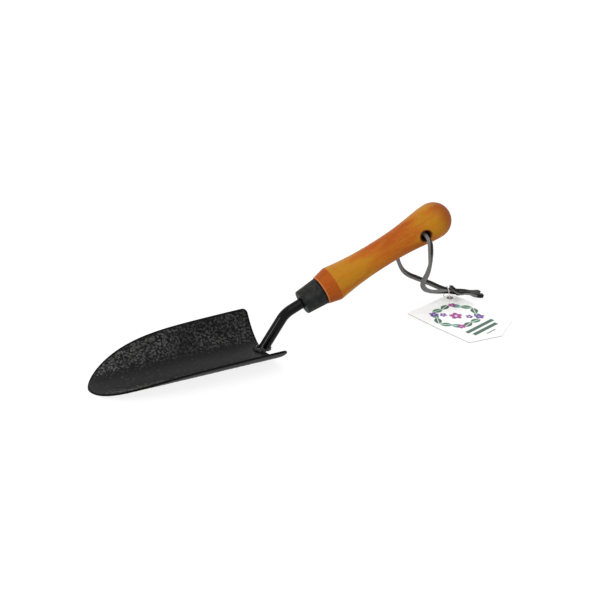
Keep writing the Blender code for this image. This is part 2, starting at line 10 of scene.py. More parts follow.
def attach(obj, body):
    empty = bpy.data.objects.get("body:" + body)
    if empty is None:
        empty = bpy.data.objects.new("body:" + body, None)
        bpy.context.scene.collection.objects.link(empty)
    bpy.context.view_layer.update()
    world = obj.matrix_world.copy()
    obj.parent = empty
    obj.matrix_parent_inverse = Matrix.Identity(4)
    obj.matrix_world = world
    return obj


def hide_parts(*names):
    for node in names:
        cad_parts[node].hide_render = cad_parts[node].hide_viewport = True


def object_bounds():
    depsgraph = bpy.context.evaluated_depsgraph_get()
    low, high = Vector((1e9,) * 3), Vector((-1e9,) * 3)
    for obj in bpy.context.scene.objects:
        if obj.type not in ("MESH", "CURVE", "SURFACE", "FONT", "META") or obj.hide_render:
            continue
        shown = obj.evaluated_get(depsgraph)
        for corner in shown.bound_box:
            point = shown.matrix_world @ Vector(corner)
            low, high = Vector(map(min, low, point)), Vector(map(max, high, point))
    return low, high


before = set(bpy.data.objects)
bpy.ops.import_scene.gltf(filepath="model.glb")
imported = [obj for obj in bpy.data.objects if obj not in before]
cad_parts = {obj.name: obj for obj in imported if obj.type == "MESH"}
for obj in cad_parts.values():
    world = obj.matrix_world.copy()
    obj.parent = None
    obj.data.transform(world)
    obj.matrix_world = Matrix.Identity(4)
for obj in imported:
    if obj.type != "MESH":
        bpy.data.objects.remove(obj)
CAD_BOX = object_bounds()

MERGE_DISTANCE = 1e-6

# Scoop
BLADE_LENGTH = 0.153
BLADE_WIDTH = 0.0849
BLADE_THICKNESS = 0.0016
BLADE_ARC = 0.0513
KEEL_WIDTH = 0.005
TIP_FULLNESS = 5.02
TIP_POWER = 0.613
TIP_TAPER = 0.0594
HEEL_SWEEP = 0.0048
HEEL_SWEEP_REACH = 0.02
HEEL_ROUND = 0.0031
HEEL_X = -0.0149575
RIM_BULGE = 0.00035
RIM_STEPS = 6
SCOOP_STEP = 0.00055
SCOOP_COLUMNS = 164
HEEL_CORNER_ROWS = 16
TIP_ROWS_FROM = 0.55

# Hammered coat
DOME_SPACING = 0.0021
DOME_HEIGHT = 0.00022
DOME_FADE = 0.0012
DOME_CELLS = 96
WORN_LEFT = 0.25
WORN_WIDTH = 0.01
WORN_FADE = 0.014
KEEL_BARE = 0.002
KEEL_BARE_FADE = 0.004
RIM_SHADE = 0.0006
RIM_SHADE_FADE = 0.0018

# Neck and weld
NECK_DIAMETER = 0.0092
FOOT_OVERHANG = 0.0014
NECK_PITCH = radians(54.5)
NECK_RISE = 0.03568
NECK_RUN = 0.01758
NECK_BEND_RADIUS = 0.022
NECK_SIDES = 48
NECK_STEPS = (30, 24, 24)
TANG_SHOWN = 0.01
FOOT_GAP = 0.0002
FOOT_CLEAR = 0.0004
BEAD_RADIUS = 0.0018
BEAD_SPREAD = 0.0003
BEAD_STEPS = 120
BEAD_SIDES = 18
BEAD_LUMPS = ((3, 0.14), (5, 0.16), (8, 0.12), (13, 0.07), (19, 0.04))
BEAD_UNDERSIDE = 0.25

# Ferrule and handle, measured along the handle's axis from the ferrule's front
HANDLE_PITCH = radians(22.3)
FERRULE_FRONT = Vector((0.0234305, 0, 0.037321))
FERRULE_LENGTH = 0.0195
FERRULE_FRONT_DIAMETER = 0.0214
FERRULE_REAR_DIAMETER = 0.0247
FERRULE_WALL = 0.0012
FERRULE_EDGE_ROUND = 0.0009
FERRULE_SIDES = 96
BORE_GAP = 0.0002
HANDLE_FRONT_DIAMETER = 0.0258
CHAMFER_LENGTH = 0.0117
SHOULDER_DIAMETER = 0.0314
SHOULDER_TO_WAIST = 0.0462
WAIST_DIAMETER = 0.0241
WAIST_TO_BULB = 0.061
BULB_DIAMETER = 0.0324
BULB_SWELL = 1.6
HANDLE_SIDES = 128
TENON_FRONT = 0.004
TENON_GAP = 0.0003
TENON_TAPER = 0.001
WOOD_FRONT = 0.0198
SHOULDER_AT = WOOD_FRONT + CHAMFER_LENGTH
WAIST_AT = SHOULDER_AT + SHOULDER_TO_WAIST
BULB_AT = WAIST_AT + WAIST_TO_BULB
HOLE_DIAMETER = 0.009
HOLE_AT = BULB_AT - 0.0168
MOUTH_ROUND = 0.0016
HOLE_SIDES = 56

# Lace and loop; places along a route are counted in its points
LACE_WIDTH = 0.0039
LACE_THICKNESS = 0.0034
LACE_CORNER = 0.0004
LACE_STEP = 0.0007
LACE_UNEVEN = 0.12
FRONT_KNOT = (14, 30.2)
BACK_KNOT = (14, 21.2)
HOLE_ENDS_AT = 2.5
TIGHT_IN_KNOT = 0.74
TIGHT_IN_HOLE = 0.85
SWELLS_OVER = 1.5
GRAIN_FROM = 0.36
DYED_FROM = -0.1
LOOP_GAUGE = 0.0008
LOOP_STEP = 0.0006
LOOP_SIDES = 12
HOLE_CENTRE = Vector((0.1362138, 0, 0.0835767))
KNOT_CENTRE = Vector((0.1869138, 0.0089, 0.0102))
KNOT_ALONG = Vector((0.9227, -0.3839, -0.05)).normalized()
KNOT_FRONT = KNOT_ALONG.cross(Vector((0, 0, 1))).normalized()
KNOT_UP = KNOT_FRONT.cross(KNOT_ALONG)

# Tag
TAG_WIDTH = 0.061
TAG_SIDE_LENGTH = 0.072
TAG_POINT_LENGTH = 0.0117
TAG_THICKNESS = 0.0008
TAG_CORNER_RADIUS = 0.0015
CORNER_STEPS = 6
TAG_HOLE_FROM_END = 0.0054
TAG_HOLE_FROM_SIDE = 0.0073
TAG_HEADING = radians(-72.3)
TAG_TILT = 0.012858
TAG_PIVOT = Vector((0.1830138, 0.0121, 0.0012))
TAG_ALONG = Vector((cos(TAG_HEADING), sin(TAG_HEADING), 0))
TAG_ACROSS = Vector((-sin(TAG_HEADING), cos(TAG_HEADING), 0))
TAG_END = TAG_PIVOT - TAG_ALONG * TAG_HOLE_FROM_END
TAG_STEP = 0.0004
# The hole shown is narrower than the solid's, ringed with painted shade.
PUNCH_SHOWN = 0.0026
PUNCH_RING = 0.002
PUNCH_DEPTH = 0.004
PUNCH_SIDES = 40
TAG_CURL = 0.001
CURL_ACROSS_FROM = 0.022
CURL_ACROSS_OVER = 0.031
CURL_ALONG_TO = 0.032
CURL_ALONG_OVER = 0.038

# Print on the tag, in millimetres from its hole
INK_EDGE = 0.35
LEAVES = 12
LEAF_SIZE = (12, 7)
LEAF_LEAN = 0.4
WREATH_CENTRE = (27, -23.5)
WREATH_REACH = (18.5, 20.5)

# Surroundings
AZIMUTH = radians(26.07)
ELEVATION = radians(26.44)
CAMERA_DISTANCE = 1
CAMERA_LENS = 70.22
CAMERA_TARGET = Vector((0.0216, 0, 0.0404))
FLOOR_REACH = 6
FLOOR_SHADE = 0.64
FLOOR_SHADE_SEEN = 0.2
FLOOR_GLOW = 0.84
WORLD_LEAST = 0.08
WORLD_SOFT = 0.74

# Directions to the right, up and towards the near side
RIGHTWARD = Vector((cos(AZIMUTH), -sin(AZIMUTH), 0))
NEARWARD = Vector((-sin(AZIMUTH) * cos(ELEVATION), -cos(AZIMUTH) * cos(ELEVATION), sin(ELEVATION)))
UPWARD = NEARWARD.cross(RIGHTWARD)


def from_hole(*points):
    """Points in millimetres from the middle of the hang hole."""
    return [HOLE_CENTRE + Vector(point) / 1000 for point in points]


def by_knot(*points):
    """Points in millimetres from the knot in X and Y and from the ground in Z."""
    ground = Vector((*KNOT_CENTRE.xy, 0))
    return [ground + Vector(point) / 1000 for point in points]


def in_knot(*points):
    """Points in millimetres along, in front of and above the knot's centre."""
    return [KNOT_CENTRE + KNOT_ALONG * a / 1000 + KNOT_FRONT * f / 1000 + KNOT_UP * u / 1000
            for a, f, u in points]


def by_tag(place, *points):
    """Points in millimetres along, across and over the tag from a place on its underside."""
    return [place + TAG_ALONG * along / 1000 + TAG_ACROSS * across / 1000 + Vector((0, 0, over / 1000))
            for along, across, over in points]


def facing(right, up, near):
    """A direction from its shares to the right, up and near."""
    return RIGHTWARD * right + UPWARD * up + NEARWARD * near


FRONT_ROUTE = (
    from_hole((0.9, -0.2, 0.2), (1.1, -6, 0.1), (1.4, -11.3, -0.8), (1.7, -14.2, -2),
              (2.1, -16.3, -3.6), (2.2, -18.2, -6.3), (2.1, -19.5, -10.8), (3.2, -18.5, -17.2),
              (8.6, -10.1, -30.3), (12.2, -1, -44))
    + by_knot((-38.5, -3.7, 28.3), (-36.7, -0.9, 22.6), (-34, -0.3, 19.1), (-27.8, -0.6, 15.6),
              (-21.3, -0.1, 13.6))
    + in_knot((-9, 3.5, 0.4), (-4, 3.5, -0.2), (-0.5, 3.5, -0.7), (1.7, 2.8, -2.1),
              (2.5, 0.5, -3.5), (1.3, -2.3, -2.9), (-1.3, -3.6, -0.6), (-3.7, -2.9, 2.1),
              (-4.9, -0.5, 3.6), (-4.3, 2.3, 3.7), (-2.1, 4.8, 2.7), (0.9, 6.2, 0.9),
              (3.9, 5.2, -0.4), (7.4, 3.8, -0.6))
    + by_knot((10.8, -7, 7.9), (16.2, -6.8, 5.2), (25.1, -7.6, 2.6)))

BACK_ROUTE = (
    from_hole((0.9, 0.2, 0.2), (0.8, 6, 0.1), (0.6, 11.2, -1), (0.4, 14, -2.5),
              (0.4, 18, -5.2), (0.5, 22.5, -9.1), (1, 27, -14.5), (1.4, 31.1, -21.4),
              (1.4, 33.5, -29), (1.6, 34.3, -40.7))
    + by_knot((-44.8, 22.7, 31.2), (-38.9, 21.5, 25.5), (-32.2, 18, 22.1), (-21.7, 10.4, 17.6),
              (-15.4, 6.3, 14.4))
    + in_knot((-9, 0, 1), (-4, 0, 0.2), (0, 0, 0), (4.5, 0, 0), (8.5, 0.1, -0.2))
    + by_knot((13.1, -3.3, 7.6), (19.7, -1.5, 4.8), (26.7, 1.3, 2.4)))

LOOP_ROUTE = (
    by_tag(TAG_PIVOT, (-0.9, 0.3, -0.6), (0, 0, 0.4), (0.3, -0.4, 1.6))
    + in_knot((-6.2, 4, -5.6), (-7.2, 6.1, -1.8), (-7.9, 6.1, 1.9), (-8.3, 4, 3.6),
              (-8.5, 1, 4), (-8.6, -2.2, 3), (-8.7, -4.4, -0.6), (-8.7, -5.8, -5.2))
    + by_tag(TAG_END, (-2, -0.2, 0.8), (-1.4, -0.1, -0.6), (1.5, 0, -0.7)))

# Where the lace's black grain face looks: (point of the route, direction)
FRONT_FACES = (
    (0, Vector((0.9, 0, 0.4))), (3, facing(1, 0.2, 0)), (5, facing(0.75, 0, 0.65)),
    (7, facing(0.7, 0, 0.75)), (8, facing(0.85, 0, 0.5)), (9, facing(1, 0, -0.1)),
    (11, facing(0.3, 0, -0.8)), (13, facing(0, -0.8, -0.2)), (15, facing(0, -0.7, 0.5)),
    (17, KNOT_FRONT), (19, -KNOT_UP), (21, -KNOT_FRONT), (23, KNOT_UP * 0.8 + NEARWARD * 0.6),
    (24, facing(0, 0.5, 0.8)), (26, facing(0, 0.6, 0.8)), (28, facing(0, 0.8, 0.6)),
    (31, facing(0, 0.8, 0.6)))
BACK_FACES = (
    (0, Vector((0.9, 0, 0.4))), (4, Vector((0.9, 0, 0.4))), (8, facing(1, 0, -0.1)),
    (9.3, facing(1, 0.3, 0)), (10.3, facing(0.4, 0.7, 0.6)), (14, facing(0, 0.75, 0.65)),
    (17, KNOT_UP + NEARWARD * 0.3), (22, facing(0, 0.8, 0.6)))


def put(name, data):
    """A new object in the scene."""
    obj = bpy.data.objects.new(name, data)
    bpy.context.scene.collection.objects.link(obj)
    return obj


def make_camera():
    """The camera at the viewing angle of the picture."""
    data = bpy.data.cameras.new("camera")
    data.lens = CAMERA_LENS
    data.sensor_width = 36
    camera = put("camera", data)
    camera.location = CAMERA_TARGET + NEARWARD * CAMERA_DISTANCE
    camera.rotation_euler = (-NEARWARD).to_track_quat("-Z", "Y").to_euler()
    bpy.context.scene.camera = camera


# Meshes

def ease(t):
    """Smooth step from 0 to 1, for numbers or arrays."""
    t = np.clip(t, 0, 1)
    return t * t * (3 - 2 * t)


def quarter(steps):
    """Angles from 0 to a quarter turn in even steps."""
    return [pi / 2 * i / steps for i in range(steps + 1)]


def circle(centre, first, second, radius, sides):
    """Points of a circle, from one direction towards another."""
    turns = [tau * k / sides for k in range(sides)]
    return [centre + (first * cos(t) + second * sin(t)) * radius for t in turns]


def grid_faces(rows, columns, around=False, first=0):
    """Quads of a grid of points; around closes each row on itself."""
    faces = []
    for i in range(rows - 1):
        for j in range(columns if around else columns - 1):
            k = (j + 1) % columns
            a = first + i * columns
            faces.append((a + j, a + k, a + columns + k, a + columns + j))
    return faces


def strip(low, high):
    """Quads between two closed rings of points."""
    return list(zip(low, low[1:] + low[:1], high[1:] + high[:1], high))


def tube_faces(rings, sides):
    """Quads of a tube, and a flat face on each of its ends."""
    last = (rings - 1) * sides
    ends = [tuple(range(sides)), tuple(range(last, last + sides))]
    return grid_faces(rings, sides, around=True) + ends


def ring_faces(rings, sides, shift=0):
    """Quads of a tube whose last ring meets its first, turned by a number of points."""
    last = list(range((rings - 1) * sides, rings * sides))
    first = [(k + shift) % sides for k in range(sides)]
    return grid_faces(rings, sides, around=True) + strip(last, first)


def sheet_faces(rows, columns):
    """Quads of two equal grids, one after the other, that look away from each other."""
    second = grid_faces(rows, columns, first=rows * columns)
    return grid_faces(rows, columns) + [face[::-1] for face in second]


def border(rows, columns):
    """The points all round the edge of a grid."""
    return (list(range(columns)) + [i * columns + columns - 1 for i in range(1, rows)]
            + [(rows - 1) * columns + j for j in range(columns - 2, -1, -1)]
            + [i * columns for i in range(rows - 2, 0, -1)])


def new_mesh(points, faces, smooth_below=40):
    """A mesh that is smooth apart from edges sharper than an angle in degrees."""
    mesh = bpy.data.meshes.new("mesh")
    mesh.from_pydata([tuple(point) for point in points], [], faces)
    bm = bmesh.new()
    bm.from_mesh(mesh)
    bmesh.ops.remove_doubles(bm, verts=bm.verts, dist=MERGE_DISTANCE)
    bmesh.ops.recalc_face_normals(bm, faces=bm.faces)
    bm.to_mesh(mesh)
    bm.free()
    mesh.shade_smooth()
    mesh.set_sharp_from_angle(angle=radians(smooth_below))
    return mesh


def turned(outline, sides):
    """A body turned about Z from a closed outline of (radius, height) points."""
    turns = [tau * k / sides for k in range(sides)]
    points = [(r * cos(t), r * sin(t), z)
              for r, z in outline + outline[:1] for t in turns]
    return new_mesh(points, grid_faces(len(outline) + 1, sides, around=True))


def piece(name, mesh, materials, replaced, body="trowel", place=Matrix()):
    """Put a mesh in the scene, on its body and in place of the solid it stands for."""
    mesh.name = name
    obj = put(name, mesh)
    obj.matrix_world = place
    for made in materials:
        mesh.materials.append(made)
    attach(obj, body)
    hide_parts(replaced)
    return obj


def without(mesh, tool_mesh, tool_place=Matrix()):
    """The mesh with another mesh's shape taken out of it."""
    obj = put("cut", mesh)
    tool = put("tool", tool_mesh)
    tool.matrix_world = tool_place
    modifier = obj.modifiers.new("cut", "BOOLEAN")
    modifier.operation = "DIFFERENCE"
    modifier.solver = "EXACT"
    modifier.object = tool
    bpy.context.view_layer.update()
    evaluated = obj.evaluated_get(bpy.context.evaluated_depsgraph_get())
    result = bpy.data.meshes.new_from_object(evaluated)
    bpy.data.objects.remove(obj)
    bpy.data.objects.remove(tool)
    bm = bmesh.new()
    bm.from_mesh(result)
    bmesh.ops.dissolve_degenerate(bm, dist=2 * MERGE_DISTANCE, edges=bm.edges)
    bm.to_mesh(result)
    bm.free()
    return result


# Materials

def rgb(red, green, blue):
    """A display colour, from 0 to 255, made linear."""
    def channel(value):
        value /= 255
        return value / 12.92 if value <= 0.04045 else ((value + 0.055) / 1.055) ** 2.4
    return (channel(red), channel(green), channel(blue), 1)


def grey(value):
    """A display grey, made linear."""
    return rgb(value, value, value)


def new_material(name, roughness, **sockets):
    """A material, its shader with even values set, and places in the piece's axes."""
    made = bpy.data.materials.new(name)
    made.use_nodes = True
    shader = made.node_tree.nodes["Principled BSDF"]
    shader.inputs["Roughness"].default_value = roughness
    for socket, value in sockets.items():
        shader.inputs[socket.replace("_", " ")].default_value = value
    return made, shader, add(shader, "TexCoord").outputs["Object"]


def feed(value, socket):
    """Give a socket another node's output or a fixed value."""
    if isinstance(value, bpy.types.NodeSocket):
        socket.id_data.links.new(value, socket)
    else:
        socket.default_value = value


def add(beside, kind, inputs=None, **settings):
    """A node beside another, its inputs given as values or other nodes' outputs."""
    made = beside.id_data.nodes.new("ShaderNode" + kind)
    for key, value in settings.items():
        setattr(made, key, value)
    for key, value in (inputs or {}).items():
        feed(value, made.inputs[key])
    return made


def stretched(place, *stretch):
    """Places stretched along the piece's axes."""
    return add(place, "Mapping", {"Vector": place, "Scale": stretch}).outputs["Vector"]


def axes_of(place):
    """X, Y and Z of places."""
    return add(place, "SeparateXYZ", {"Vector": place}).outputs[:]


def noise(place, scale, detail=3, roughness=0.5, distortion=0):
    """Noise from 0 to 1."""
    inputs = {"Vector": place, "Scale": scale, "Detail": detail, "Roughness": roughness,
              "Distortion": distortion}
    return add(place, "TexNoise", inputs).outputs["Fac"]


def ramp(factor, *stops):
    """Colours at places of a factor."""
    made = add(factor, "ValToRGB", {"Fac": factor})
    elements = made.color_ramp.elements
    while len(elements) < len(stops):
        elements.new(0.5)
    for element, (position, colour) in zip(elements, stops):
        element.position = position
        element.color = colour
    return made.outputs["Color"]


def span(value, low, high, to_low=0, to_high=1):
    """A value carried smoothly into another range."""
    inputs = {"Value": value, "From Min": low, "From Max": high, "To Min": to_low, "To Max": to_high}
    made = add(value, "MapRange", inputs, interpolation_type="SMOOTHSTEP")
    return made.outputs["Result"]


def maths(operation, first, second=0):
    """A sum, product or other step of a node's output and another value."""
    return add(first, "Math", {0: first, 1: second}, operation=operation).outputs[0]


def times(first, second):
    """The product of two values."""
    return maths("MULTIPLY", first, second)


def mix(factor, first, second):
    """Two colours mixed."""
    return add(factor, "Mix", {0: factor, 6: first, 7: second}, data_type="RGBA").outputs[2]


def paint(shader, colour):
    """Make a pattern the shader's colour."""
    feed(colour, shader.inputs["Base Color"])


def roughen(shader, pattern, low, high, smooth, rough):
    """Carry a pattern's range into the shader's roughness."""
    feed(span(pattern, low, high, smooth, rough), shader.inputs["Roughness"])


def relief(shader, *layers):
    """Bumps on the surface, each a height, its depth in metres and its strength."""
    normal = None
    for height, depth, strength in layers:
        inputs = {"Height": height, "Distance": depth, "Strength": strength}
        if normal is not None:
            inputs["Normal"] = normal
        normal = add(shader, "Bump", inputs).outputs["Normal"]
    feed(normal, shader.inputs["Normal"])


def hammered_coat():
    """Black hammered coat: painted glints on the domes, painted sheen on the floor and towards the
    tip, painted shade along the rim, and fine grit.
    """
    made, shader, place = new_material("hammered_coat", 0.4, Specular_IOR_Level=0.05)
    patches = noise(place, 35)
    grit = noise(place, 1500, 2, 0.6)
    crumbs = noise(place, 620, 3, 0.6, 0.5)
    domes_and_rim_shade = add(place, "VertexColor", layer_name="domes_and_rim_shade").outputs["Color"]
    marks = add(place, "SeparateColor", {"Color": domes_and_rim_shade})
    height, out_of_rim_shade = marks.outputs["Red"], marks.outputs["Green"]
    # Painted glints: the domes lighten the colour, broken up and in patches, as highlights would.
    spread = span(height, 0.02, 0.3)
    glint_from_domes = maths("ADD", times(height, 0.62), times(spread, 0.2))
    glint_broken_up = times(glint_from_domes, span(crumbs, 0.38, 0.6, 0.15, 1.5))
    patchy = span(patches, 0.3, 0.7, 0.55, 1)
    high = times(span(glint_broken_up, 0.12, 0.8), patchy)

    along, across, _ = axes_of(place)
    # Painted sheen: lighter grey on the scoop's floor and at the tip, and more glints towards the tip.
    towards_tip = span(along, -0.06, -0.16)
    tip_glint_boost = maths("ADD", times(towards_tip, 0.55), 0.45)
    middle = span(maths("ABSOLUTE", across), 0.026, 0.012)
    painted_sheen = maths("MAXIMUM", times(middle, 0.7), times(towards_tip, 0.85))
    base = mix(painted_sheen, grey(9), grey(24))
    base = mix(span(along, -0.15, -0.168), base, grey(30))
    colour = mix(times(high, tip_glint_boost), base, rgb(100, 100, 99))
    # Painted shade: near black along the rim.
    paint(shader, mix(out_of_rim_shade, grey(7), colour))
    roughen(shader, grit, 0.3, 0.7, 0.36, 0.52)
    relief(shader, (noise(place, 700, 3, 0.6), 0.00006, 0.5), (grit, 0.00002, 0.5))
    return made


def gloss_coat():
    """Glossy black coat with a little orange peel."""
    made, shader, place = new_material("gloss_coat", 0.2, Specular_IOR_Level=0.08,
                                       Coat_Weight=0.12, Coat_Roughness=0.04)
    paint(shader, ramp(noise(place, 90), (0.3, grey(1)), (0.7, grey(5))))
    roughen(shader, noise(place, 260, 4, 0.6), 0.35, 0.75, 0.1, 0.28)
    relief(shader, (noise(place, 420), 0.00014, 0.6))
    return made


def weld_coat():
    """Black coat over rough weld metal."""
    made, shader, place = new_material("weld_coat", 0.28, Specular_IOR_Level=0.2,
                                       Coat_Weight=0.08, Coat_Roughness=0.15)
    paint(shader, ramp(noise(place, 400), (0.35, grey(16)), (0.7, grey(44))))
    relief(shader, (noise(place, 900), 0.0002, 0.6))
    return made


def ferrule_coat():
    """Matt dark grey with a breath of blue green, and painted shade nearly black at the rear edge."""
    made, shader, place = new_material("ferrule_coat", 0.5, Specular_IOR_Level=0.08)
    colour = ramp(noise(place, 190, 3, 0.6), (0.34, rgb(27, 32, 34)),
                  (0.5, rgb(37, 38, 37)), (0.66, rgb(50, 49, 44)))
    along = axes_of(place)[2]
    # Painted shade: near black at the rear edge, where the ferrule meets the wood.
    rear = span(along, FERRULE_LENGTH - 0.0016, FERRULE_LENGTH - 0.0009)
    paint(shader, mix(rear, colour, grey(9)))
    grit = noise(place, 2600, 2)
    roughen(shader, grit, 0.3, 0.7, 0.42, 0.6)
    relief(shader, (grit, 0.00002, 0.5))
    return made


def varnished_wood():
    """Stained and varnished wood: patches, grain, pores, a painted highlight on the front edge,
    painted shade in the hole, and a dark end that is part painted shade, part end grain.
    """
    made, shader, place = new_material("varnished_wood", 0.5, Specular_IOR_Level=0.08,
                                       Coat_Weight=0.01, Coat_Roughness=0.3)
    across, _, along = axes_of(place)
    patches = noise(stretched(place, 1, 1, 0.34), 62, 3.5, 0.6, 0.6)
    grain = noise(stretched(place, 1, 1, 0.035), 420, 4, 0.6, 0.6)
    flakes = noise(stretched(place, 1, 1, 0.5), 330, 2, 0.6)
    fibres = noise(stretched(place, 1, 1, 0.03), 2300, 2)
    rings = noise(stretched(place, 0.1, 0.1, 1), 1500, 2)

    lean = maths("ADD", span(along, 0.046, 0.085, -0.14, 0.06), span(along, 0.108, 0.138, 0, -0.2))
    colour = ramp(maths("ADD", patches, lean), (0.36, rgb(180, 120, 24)),
                  (0.5, rgb(178, 101, 24)), (0.68, rgb(166, 80, 20)))
    chamfer = mix(span(grain, 0.4, 0.7), rgb(170, 84, 22), rgb(150, 68, 20))
    past_hole = maths("SUBTRACT", along, HOLE_AT)
    from_axis = maths("SQRT", maths("ADD", times(across, across), times(past_hole, past_hole)))
    mouth = HOLE_DIAMETER / 2 + MOUTH_ROUND
    for pattern, low, high, most, tint in (
            (grain, 0.52, 0.75, 0.42, rgb(166, 80, 20)),
            (flakes, 0.56, 0.7, 0.35, rgb(196, 92, 34)),
            (flakes, 0.42, 0.3, 0.35, rgb(160, 122, 40)),
            (grain, 0.45, 0.25, 0.4, rgb(192, 132, 34)),
            (fibres, 0.55, 0.8, 0.45, rgb(112, 56, 16)),
            (along, SHOULDER_AT + 0.0008, SHOULDER_AT - 0.0004, 1, chamfer),
            # A pale line at the wood's front edge: painted highlight.
            (along, WOOD_FRONT + 0.0013, WOOD_FRONT + 0.0005, 0.6, rgb(206, 132, 74)),
            # Browner, then near black, into the cross hole: painted shade.
            (from_axis, mouth + 0.0003, mouth - 0.0004, 0.85, rgb(96, 42, 18)),
            (from_axis, mouth - 0.0006, mouth - 0.0014, 0.9, rgb(30, 14, 8)),
            # Darker towards the bulb's end: painted shade, and the end grain's darker stain.
            (along, BULB_AT - 0.005, BULB_AT + 0.38 * BULB_DIAMETER, 0.9, rgb(136, 62, 22))):
        colour = mix(span(pattern, low, high, 0, most), colour, tint)
    paint(shader, colour)
    roughen(shader, grain, 0.3, 0.7, 0.44, 0.58)
    relief(shader, (fibres, 0.00005, 0.5), (rings, 0.00003, 0.35))
    return made


def leather_grain():
    """The lace's smooth black face."""
    made, shader, place = new_material("leather_grain", 0.36, Specular_IOR_Level=0.12)
    paint(shader, ramp(noise(place, 300), (0.3, grey(10)), (0.75, rgb(26, 25, 24))))
    creases = add(place, "TexVoronoi", {"Vector": place, "Scale": 1500}).outputs["Distance"]
    relief(shader, (creases, 0.00008, 0.5), (noise(place, 600), 0.0001, 0.5))
    return made


def leather_cut():
    """The lace's cut sides: grey fibres."""
    made, shader, place = new_material("leather_cut", 0.85, Specular_IOR_Level=0.2)
    fibres = noise(place, 1300, 4, 0.65)
    paint(shader, ramp(fibres, (0.3, rgb(98, 98, 97)), (0.55, rgb(124, 124, 122)),
                       (0.8, rgb(152, 151, 148))))
    relief(shader, (fibres, 0.00012, 0.6))
    return made


def clear_nylon():
    """The thin loop's milky clear plastic."""
    made, shader, place = new_material("clear_nylon", 0.25, IOR=1.5, Transmission_Weight=0.25)
    paint(shader, ramp(noise(place, 500), (0.3, grey(226)), (0.7, grey(246))))
    return made


def printed_card():
    """White card with a faint fibre, and the print and painted shade that the mesh holds."""
    made, shader, place = new_material("printed_card", 0.38, Coat_Weight=0.15, Coat_Roughness=0.2)
    ink = add(place, "VertexColor", layer_name="print").outputs["Color"]
    mottle = ramp(noise(place, 160), (0.3, grey(247)), (0.7, grey(255)))
    both = add(place, "Mix", {0: 1, 6: ink, 7: mottle}, data_type="RGBA", blend_type="MULTIPLY")
    paint(shader, both.outputs[2])
    relief(shader, (noise(place, 2500, 2), 0.00001, 0.4))
    return made


# Lace

def between(p, q, low, high, t):
    """The point at t on the line that passes p at low and q at high."""
    return p * ((high - t) / (high - low)) + q * ((t - low) / (high - low))


def curve_through(route, closed=False, per_span=14):
    """Fine points on a smooth curve through a route, each with its place on the route."""
    if closed:
        padded = [route[-1], *route, route[0], route[1]]
    else:
        padded = [route[0] * 2 - route[1], *route, route[-1] * 2 - route[-2]]
    fine = []
    for i in range(len(padded) - 3):
        p0, p1, p2, p3 = padded[i:i + 4]
        gaps = [sqrt((b - a).length) for a, b in ((p0, p1), (p1, p2), (p2, p3))]
        t0, t1 = 0, gaps[0]
        t2 = t1 + gaps[1]
        t3 = t2 + gaps[2]
        for k in range(per_span):
            t = t1 + (t2 - t1) * k / per_span
            before = between(p0, p1, t0, t1, t)
            within = between(p1, p2, t1, t2, t)
            after = between(p2, p3, t2, t3, t)
            early = between(before, within, t0, t2, t)
            late = between(within, after, t1, t3, t)
            fine.append((i + k / per_span, between(early, late, t1, t2, t)))
    fine.append((len(padded) - 3, padded[-2]))
    return fine


def read_off(wanted, known, vectors):
    """Vectors at wanted places, read off between known ones."""
    return np.stack([np.interp(wanted, known, vectors[:, k]) for k in range(3)], axis=1)


def evenly(fine, step):
    """Places and points at even steps on a fine curve, and its length."""
    places, points = zip(*fine)
    points = np.array([tuple(point) for point in points])
    run = np.concatenate([[0], np.cumsum(np.linalg.norm(np.diff(points, axis=0), axis=1))])
    wanted = np.linspace(0, run[-1], max(2, round(run[-1] / step)) + 1)
    return np.interp(wanted, run, places), read_off(wanted, run, points), run[-1]


def lace_section():
    """Outline of the lace's cross section, a rectangle with rounded corners."""
    half_width = LACE_WIDTH / 2 - LACE_CORNER
    half_thick = LACE_THICKNESS / 2 - LACE_CORNER
    outline = []
    for side, thick, start in ((1, 1, 0), (-1, 1, 1), (-1, -1, 2), (1, -1, 3)):
        for k in range(4):
            turn = pi / 2 * (start + k / 3)
            outline.append((side * half_width + LACE_CORNER * cos(turn),
                            thick * half_thick + LACE_CORNER * sin(turn)))
    return outline


def square_to(tangents, vectors):
    """Vectors with their part along the tangents taken off."""
    return vectors - tangents * (vectors * tangents).sum(axis=1)[:, None]


def grain_directions(places, tangents, faces):
    """Where the grain face looks at each step, smooth and square to the lace."""
    keys, looks = zip(*faces)
    looks = np.array([tuple(look) for look in looks])
    grain = square_to(tangents, read_off(places, keys, looks))
    padded = np.pad(grain, ((6, 6), (0, 0)), "edge")
    grain = np.stack([np.convolve(padded[:, k], np.ones(13) / 13, "valid") for k in range(3)], axis=1)
    grain = square_to(tangents, grain)
    return grain / np.linalg.norm(grain, axis=1)[:, None]


